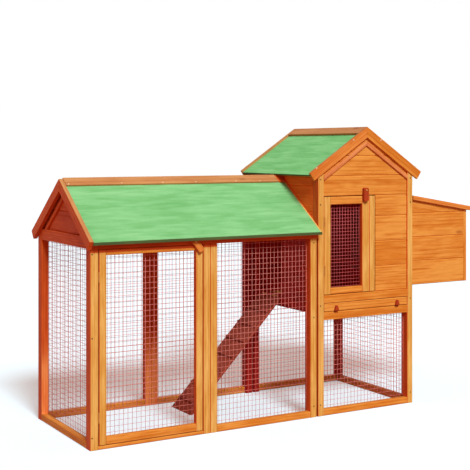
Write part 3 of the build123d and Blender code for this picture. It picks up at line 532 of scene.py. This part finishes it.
# %% [markdown]
# ## Trims, barge boards and ridge boards
#
# Barge boards close the ends of a roof, and ridge boards cap its top. What faces the sky weathers
# fastest, so the ridge boards and the top edges of the barge boards are browner and flatter in colour.
# The run's barge boards look left, into the shade, and their red is painted shade.

# %% The roof's woodwork
low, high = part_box("house_barge_boards")
HOUSE_MIDDLE = (low[0] + high[0]) / 2


def pick_barge(normal, along, centre):
    """0 for a left barge board, 1 for a right one, 2 for a top edge and the inner face of a back board."""
    if faces(normal, UP) or (centre.y > 0 and faces(normal, FRONT)):
        return 2
    return int(centre.x > HOUSE_MIDDLE)


dress_boards("house_barge_boards", [trim_wood, orange_wood, ridge_wood], pick_barge)
dress_boards("house_gable_trims", [salmon_wood])
dress_boards("nest_lid_trims", [trim_wood])
# The run's gable trims and barge boards lie in shade, and their red is painted shade.
dress_boards("run_gable_trims", [painted_shade_wood])
dress_boards("run_barge_boards", [painted_shade_wood, ridge_wood],
             lambda normal, along, centre: int(faces(normal, UP)))
for ridge in ("run_ridge_boards", "house_ridge_boards"):
    dress_boards(ridge, [ridge_wood])

# %% [markdown]
# ## Turn buttons and tray pulls
#
# The small blocks that are turned or pulled by hand are stained dark, so that they can be found at a
# glance. Only the run door's button has the orange of the trims. They are boards like the others, so the
# same function dresses them.

# %% The small blocks
for block in ("house_door_button", "tray_pulls"):
    dress_boards(block, [accent_wood])
dress_boards("run_door_button", [trim_wood])

# %% [markdown]
# ## Green roofs
#
# The roofs are sheets covered in green mineral felt: fine grit and faint streaks along the ridge. The
# edges of the felt take a darker green, which is painted shade, and the felt on the house is a lighter
# copy of the run's, which is painted light. The underside stays bare board. One mesh carries all the
# finishes, and each face takes the one that suits the way it points. On the run the felt hangs a little
# below the eaves, as a thin strip, and it stops short of the house, which leaves a pale line of bare wood
# along the right end.

# %% Felt
FELT_STREAKS = (9.0, 70, 70)
FELT_PATCHES = (4.5, 24, 24)
GRIT_HEIGHT = 0.0006


def mineral_felt(name, pale, deep, dark):
    material, start = new_material(name)
    grain = start.node("ShaderNodeAttribute", {"attribute_name": "grain"}, None, "Vector")
    streak = grain.stretch(FELT_STREAKS).noise(1.0, 4.0, 0.6).between(0.3, 0.72)
    patch = grain.stretch(FELT_PATCHES).noise(1.0, 3.0).between(0.36, 0.66)
    grit = grain.noise(900.0, 2.0, 0.7)
    worn = grain.noise(260.0, 3.0, 0.7)
    body = (0.45 * streak + 0.55 * patch).tint(deep, pale)
    gritty = (0.3 * grit.between(0.5, 0.72) + 0.12 * worn).tint(body, dark)
    return surface(material, {"Specular IOR Level": 0.3}, Base_Color=gritty,
                   Roughness=0.82 + 0.14 * (grit - 0.5),
                   Normal=(0.7 * grit + 0.3 * worn).bump(GRIT_HEIGHT, 0.5))


run_felt = mineral_felt("green_felt", colour(145, 206, 143), colour(109, 177, 107), colour(72, 134, 76))
# The house's felt is a lighter copy of the run's, painted light for slopes that get less sun.
painted_light_felt = mineral_felt("painted_light_felt", colour(147, 221, 151), colour(110, 190, 113), colour(73, 143, 80))
# The darker green of the edges is painted shade.
felt_edge_shade = mineral_felt("felt_edge_shade", colour(84, 96, 48), colour(66, 78, 38), colour(46, 56, 28))

# %% A strip turned down over the eave
FELT_THICK = 0.002
FELT_HANG = 0.005  # below the lowest edge of the sheet
FELT_TOP = 0.0058  # above that edge


def hang_felt(joined, node):
    """A strip of felt that is turned down over the eave of one of the run's slopes."""
    low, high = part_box(node)
    eave, inward = (low[1], 1) if low[1] + high[1] < 0 else (high[1], -1)
    size = Vector((high[0] - low[0], FELT_THICK, FELT_HANG + FELT_TOP))
    middle = Vector(((low[0] + high[0]) / 2, eave + inward * FELT_THICK / 2,
                     low[2] + (FELT_TOP - FELT_HANG) / 2))
    strip = bmesh.new()
    bmesh.ops.create_cube(strip, size=1.0, matrix=Matrix.Translation(middle) @ Matrix.Diagonal((*size, 1)))
    # The strip takes the darker edge green, which is painted shade.
    for face in strip.faces:
        face.material_index = 1
    finish_solid(joined, strip, (-LEFT, UP, FRONT), FELT_THICK / 4)


print("felt hangs", FELT_HANG * 1000, "mm below the run's eaves")

# %% Sheets with felt on top
SLOPE_FACING = 0.7
FELT_EASE = 0.002
BARE_END = 0.008


def pick_roof(normal, centre, felt_end):
    """0 for felt, 1 for an edge in painted shade, 2 for the underside, 3 for the top past the end of the
    felt.
    """
    if normal.z < -SLOPE_FACING:
        return 2
    if normal.z <= SLOPE_FACING:
        return 1
    return 3 if centre.x > felt_end else 0


def dress_roof(node, felt, on_run):
    felt_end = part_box(node)[1][0] - BARE_END if on_run else math.inf
    joined = bmesh.new()
    for solid in solids_of(node):
        axes = board_axes(solid)
        if on_run:
            part_at(solid, (felt_end, 0, 0), -LEFT)
        for face in solid.faces:
            face.material_index = pick_roof(face.normal, face.calc_center_median(), felt_end)
        finish_solid(joined, solid, axes, FELT_EASE)
    if on_run:
        hang_felt(joined, node)
    finishes = [felt, felt_edge_shade, orange_wood, honey_wood]
    add_piece(f"{node}.felt", joined, finishes, nodes[node]["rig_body"], [node])


for roof in ("run_roof_front", "run_roof_back"):
    dress_roof(roof, run_felt, True)
for roof in ("house_roof_left", "house_roof_right", "nest_lid_panel"):
    dress_roof(roof, painted_light_felt, False)

# %% [markdown]
# ## The end of the ridge
#
# The run's ridge boards go on under the house's eave, up to its wall. The solids stop just short of the
# eave. So a copy of each board is squeezed into the rest of the way, and its top is sliced off where it
# would meet the eave. It lies in shade, and its red is painted shade.

# %% Ridge boards up to the wall
RIDGE_GAP = 0.0006


def carry_ridge(node, finish):
    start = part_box(node)[1][0] + RIDGE_GAP
    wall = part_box("house_left_boards")[0][0] - RIDGE_GAP
    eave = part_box("house_roof_left")[0][2] - RIDGE_GAP
    joined = bmesh.new()
    for solid in solids_of(node):
        axes = board_axes(solid)
        for vert in solid.verts:
            vert.co.x = start if vert.co.x < 0 else wall
        part_at(solid, (0, 0, eave), UP, cut_off=True)
        finish_solid(joined, solid, axes, EASE)
    add_piece("run_ridge_ends", joined, [finish], nodes[node]["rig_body"], None)


# This end lies in the shade of the house's eave, and its red is painted shade.
carry_ridge("run_ridge_boards", painted_shade_wood)

# %% [markdown]
# ## Wire netting
#
# The bays are closed by welded netting: straight wires up to two millimetres thick, one layer laid over
# the other. A picture of a net on a flat sheet would vanish from the side. Real wires are cheap, since
# each is a six-sided rod, so every wire is made, and the two layers share the thickness of the CAD panel.

# %% Galvanised wire
def galvanised(name, pale, deep, roughness, metallic=0.8):
    material, start = new_material(name)
    place = start.node("ShaderNodeTexCoord", None, None, "Object")
    spangle = place.noise(420.0, 2.0).between(0.35, 0.65)
    dull = place.noise(36.0, 3.0).between(0.3, 0.7)
    body = (0.6 * spangle + 0.4 * dull).tint(deep, pale)
    return surface(material, {"Metallic": metallic, "Specular IOR Level": 0.2}, Base_Color=body,
                   Roughness=roughness + 0.2 * (dull - 0.5))


# The pink of the wire is a painted reflection of the red wood round it, and the window's wire is redder
# still.
run_wire = galvanised("run_wire", colour(246, 152, 142), colour(220, 120, 112), 0.6, 0.1)
window_wire = galvanised("window_wire", colour(230, 106, 108), colour(200, 82, 86), 0.6, 0.1)

# %% A panel of crossing wires
WIRE_SIDES = 6


def wire_rod(mesh, start, end, radius):
    """A thin rod from one point to another."""
    line = end - start
    turn = UP.rotation_difference(line).to_matrix().to_4x4()
    bmesh.ops.create_cone(mesh, cap_ends=True, segments=WIRE_SIDES, radius1=radius, radius2=radius,
                          depth=line.length, matrix=Matrix.Translation((start + end) / 2) @ turn)


def net_panel(mesh, low, high, pitch_along, pitch_up, radius):
    """Two layers of straight wires that fill a flat box: uprights in one, level wires in the other."""
    thin = 0 if high.x - low.x < high.y - low.y else 1
    side = 1 - thin
    low, high = low + Vector((radius, radius, radius)), high - Vector((radius, radius, radius))
    columns = round((high[side] - low[side]) / pitch_along)
    rows = round((high.z - low.z) / pitch_up)
    for i in range(columns + 1):
        start, end = low.copy(), low.copy()
        start[side] = end[side] = low[side] + i * (high[side] - low[side]) / columns
        end.z = high.z
        wire_rod(mesh, start, end, radius)
    for i in range(rows + 1):
        start, end = low.copy(), high.copy()
        start[thin] = end[thin] = high[thin]
        start.z = end.z = low.z + i * (high.z - low.z) / rows
        wire_rod(mesh, start, end, radius)
    return columns, rows


print("each wire is a rod with", WIRE_SIDES, "sides")

# %% The nets in the frames
RUN_WIRE = 0.0008
WINDOW_WIRE = 0.001
RUN_PITCH = (0.0192, 0.0226)
WINDOW_PITCH = (0.0160, 0.0155)


def string_net(node, finish, pitch_along, pitch_up, radius):
    net = bmesh.new()
    for solid in solids_of(node):
        corners = [vert.co for vert in solid.verts]
        low = Vector([min(corner[i] for corner in corners) for i in range(3)])
        high = Vector([max(corner[i] for corner in corners) for i in range(3)])
        solid.free()
        columns, rows = net_panel(net, low, high, pitch_along, pitch_up, radius)
        print(f"{node}: {columns} by {rows} gaps")
    for face in net.faces:
        face.smooth = len(face.verts) == 4
    add_piece(f"{node}.net", net, [finish], nodes[node]["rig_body"], [node])


for net_node in ("run_wire_end", "run_wire_front", "run_wire_back", "under_house_wire", "run_door_wire"):
    string_net(net_node, run_wire, *RUN_PITCH, RUN_WIRE)
string_net("house_door_wire", window_wire, *WINDOW_PITCH, WINDOW_WIRE)

# %% [markdown]
# ## Hinges and button screws
#
# The hinges and the screws of the turn buttons are zinc plated and passivated to a dull gold, which hides
# them against the wood. Their shapes come from CAD, so only the finish is new, and it is assigned to the
# CAD nodes themselves.

# %% Golden zinc on the CAD hardware
zinc = galvanised("golden_zinc", colour(220, 150, 76), colour(190, 118, 54), 0.5, 0.35)
HARDWARE = ["hinge_frame_leaves", "button_screws", "run_door_hinge_leaves", "house_door_hinge_leaves",
            "nest_lid_hinge_leaves", "ramp_hinge_leaves"]
for part in HARDWARE:
    nodes[part].data.materials.clear()
    nodes[part].data.materials.append(zinc)
print("zinc on", len(HARDWARE), "nodes")

# %% [markdown]
# ## Screw heads
#
# Countersunk screws hold the frames together. Their heads show as dark dots down the posts, where the
# dark colour is painted shade, and as bright ones along the ridge and on the barge boards. One head is
# modelled once. A grid of nine faces gives the cross, and its border is drawn out to a rim of twelve
# sides. Each copy is then set on the nearest point of a board and turned to face the way that the board
# faces, so no screw can miss its board.

# %% One head with a cross in it
HEAD_RADIUS = 0.0034
HEAD_PROUD = 0.0003
NECK = (HEAD_RADIUS * 0.8, -HEAD_PROUD * 3)
CROSS_SIZE = 0.0016
CROSS_DEPTH = 0.0012


def screw_head():
    """A countersunk head that faces up, with its face at height 0."""
    head = bmesh.new()
    bmesh.ops.create_grid(head, x_segments=3, y_segments=3, size=CROSS_SIZE)
    border = [edge for edge in head.edges if edge.is_boundary]
    cross = [face for face in head.faces
             if min(abs(part) for part in face.calc_center_median().xy) < CROSS_SIZE / 3]
    sunk = bmesh.ops.extrude_face_region(head, geom=cross)["geom"]
    bmesh.ops.delete(head, geom=[face for face in cross if face.is_valid], context="FACES")
    bottom = [item for item in sunk if isinstance(item, bmesh.types.BMVert)]
    bmesh.ops.translate(head, verts=bottom, vec=(0, 0, -CROSS_DEPTH))
    for radius, height in ((HEAD_RADIUS, 0), NECK):
        drawn = bmesh.ops.extrude_edge_only(head, edges=border)["geom"]
        for vert in (item for item in drawn if isinstance(item, bmesh.types.BMVert)):
            vert.co = Vector((*(vert.co.xy.normalized() * radius), height))
        border = [item for item in drawn if isinstance(item, bmesh.types.BMEdge)]
    bmesh.ops.holes_fill(head, edges=border, sides=len(border))
    bmesh.ops.recalc_face_normals(head, faces=head.faces[:])
    mesh = bpy.data.meshes.new("screw_head")
    head.to_mesh(mesh)
    head.free()
    return mesh


one_head = screw_head()
print("faces on one head:", len(one_head.polygons))

# %% Screws down the posts
# The dark colour of these heads is painted shade.
screw_in_shade = galvanised("screw_in_shade", colour(74, 46, 28), colour(48, 30, 18), 0.6)
RUN_HEIGHTS = (0.050, 0.445, 0.778)
HOUSE_HEIGHTS = (0.050, 0.493, 0.946, 1.059)
RUN_SCREWS = (0.008, 0.016)  # in from the left and right ends
HOUSE_SCREWS = (0.013, 0.014)


def drive_screws(name, finish, places):
    """Set heads on the nearest points of CAD nodes, given the places wanted on each node."""
    screws = bmesh.new()
    for node, spots in places.items():
        boards = bmesh.new()
        boards.from_mesh(nodes[node].data)
        surfaces = BVHTree.FromBMesh(boards)
        boards.free()
        for wanted in spots:
            spot, outward = surfaces.find_nearest(wanted)[:2]
            turn = UP.rotation_difference(outward).to_matrix().to_4x4()
            head = one_head.copy()
            head.transform(Matrix.Translation(spot + outward * HEAD_PROUD) @ turn)
            screws.from_mesh(head)
            bpy.data.meshes.remove(head)
    add_piece(name, screws, [finish], "cage", None)


def post_screws(node, from_ends, heights):
    """Places down the front and back of a node's end posts, set in from the outer edge of each post."""
    low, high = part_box(node)
    across = (low[0] + from_ends[0], high[0] - from_ends[1])
    return [Vector((x, y, z)) for x in across for y in (low[1], high[1]) for z in heights]


drive_screws("post_screws", screw_in_shade,
             {"run_corner_posts": post_screws("run_corner_posts", RUN_SCREWS, RUN_HEIGHTS),
              "house_posts": post_screws("house_posts", HOUSE_SCREWS, HOUSE_HEIGHTS)})

# %% Screws on the roof
bright_screw = galvanised("bright_screw", colour(252, 226, 190), colour(228, 190, 144), 0.4)
CAP_SCREWS = (0.012, 0.253, 0.449, 0.613, 0.819, 0.948)  # along from the left end
BARGE_SCREWS = ((0.034, 0.058), (0.238, 0.184))  # in from an end, and up from the foot
low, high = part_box("run_ridge_boards")
middle = (low[2] + high[2]) / 2
cap_places = [Vector((low[0] + x, y, middle)) for x in CAP_SCREWS for y in (low[1], high[1])]
low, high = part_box("house_barge_boards")
barge_places = [Vector((x, y, low[2] + up)) for along, up in BARGE_SCREWS
                for x in (low[0] + along, high[0] - along) for y in (low[1], high[1])]
drive_screws("roof_screws", bright_screw,
             {"run_ridge_boards": cap_places, "house_barge_boards": barge_places})

# %% [markdown]
# ## Light, background and floor
#
# The photograph has a white background and sunlight from the front, about 40 degrees up, which only
# grazes the ends. The shade is warm and red. A wide sun lamp and an even, warm sky give that. The camera
# sees a white sky, and a pale floor that keeps the shadow. To the wood the same floor is red earth, which
# warms the shade further.

# %% A soft sun
SUN = 3.25
SUN_COLOUR = (0.84, 1.0, 1.0)
SUN_SOFTNESS = math.radians(18)
SUN_FROM = Vector((-0.15, -1.0, 0.9))

sun_data = bpy.data.lights.new("sun", "SUN")
sun_data.energy = SUN
sun_data.color = SUN_COLOUR
sun_data.angle = SUN_SOFTNESS
sun = bpy.data.objects.new("sun", sun_data)
sun.rotation_euler = SUN_FROM.to_track_quat("Z", "Y").to_euler()
bpy.context.scene.collection.objects.link(sun)
print("sun from", [round(part, 2) for part in SUN_FROM.normalized()])

# %% A sky that the camera sees as white
# The warm sky gives part of the red in shade, and the rest is painted shade in the wood's finishes.
SKY = 0.44
SKY_COLOUR = (1.0, 0.57, 0.43, 1)
WHITE = (1, 1, 1, 1)


def seen_directly(start):
    """1 for rays from the camera, and for those that a mirror or glass sends on."""
    path = [start.node("ShaderNodeLightPath", None, None, name)
            for name in ("Is Camera Ray", "Is Glossy Ray", "Is Transmission Ray")]
    return path[0].math("MAXIMUM", path[0].math("MAXIMUM", path[0], path[1]), path[2])


world = bpy.data.worlds.new("white_studio")
world.use_nodes = True
bpy.context.scene.world = world
background = world.node_tree.nodes["Background"]
shown = seen_directly(Shade(world.node_tree))
world.node_tree.links.new(shown.tint(SKY_COLOUR, WHITE).socket, background.inputs["Color"])
world.node_tree.links.new((SKY + (1 - SKY) * shown).socket, background.inputs["Strength"])
bpy.context.scene.view_settings.view_transform = "Standard"
print("sky strength", SKY, "on the cage")

# %% A floor that keeps the shadow
FLOOR_RADIUS = 30
FLOOR_SIDES = 64
FLOOR_DROP = 0.0005
FLOOR_LIFT = 0.3
GROUND_BOUNCE = (0.38, 0.13, 0.09, 1)
PALE_FLOOR = (0.7, 0.86, 0.98, 1)
BLACK = (0, 0, 0, 1)

floor_shape = bmesh.new()
bmesh.ops.create_circle(floor_shape, cap_ends=True, segments=FLOOR_SIDES, radius=FLOOR_RADIUS)
floor_mesh = bpy.data.meshes.new("floor")
floor_shape.to_mesh(floor_mesh)
floor_shape.free()
floor = bpy.data.objects.new("floor", floor_mesh)
floor.location.z = -FLOOR_DROP
bpy.context.scene.collection.objects.link(floor)
floor_finish, floor_start = new_material("pale_floor")
shown = seen_directly(floor_start)
lift = (FLOOR_LIFT, FLOOR_LIFT, FLOOR_LIFT, 1)
surface(floor_finish, {"Roughness": 0.9, "Specular IOR Level": 0.0, "Emission Strength": 1.0},
        Base_Color=shown.tint(GROUND_BOUNCE, PALE_FLOOR), Emission_Color=shown.tint(BLACK, lift))
floor_mesh.materials.append(floor_finish)
